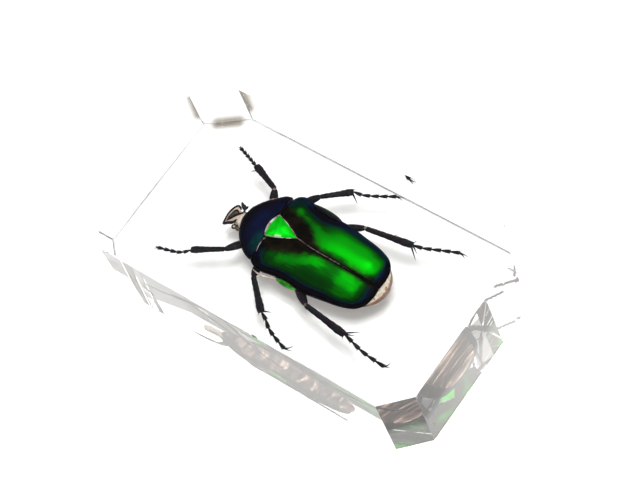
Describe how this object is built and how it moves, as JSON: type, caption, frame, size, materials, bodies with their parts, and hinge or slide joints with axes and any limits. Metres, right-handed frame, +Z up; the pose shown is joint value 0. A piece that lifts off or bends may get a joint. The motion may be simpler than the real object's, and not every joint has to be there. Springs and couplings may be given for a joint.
{
  "type": "insect in resin block",
  "caption": "Flower chafer beetle with spread legs, sealed in a low clear resin block with cut-off vertical corners.",
  "frame": {"origin": "middle of the block's underside", "axes": "+X along the long side from the beetle's head to its tail, +Y across to the beetle's right, +Z up"},
  "size_m": [0.073, 0.0398, 0.0185],
  "materials": {
    "clear_resin": "polished clear cast resin, nearly colourless",
    "beetle_shell": "glossy metallic green shell shading to blue-green and violet-black, cream and brown on the head"
  },
  "bodies": {
    "root": {"resin_base": "clear_resin", "resin_top": "clear_resin", "beetle": "beetle_shell"}
  },
  "joints": []
}
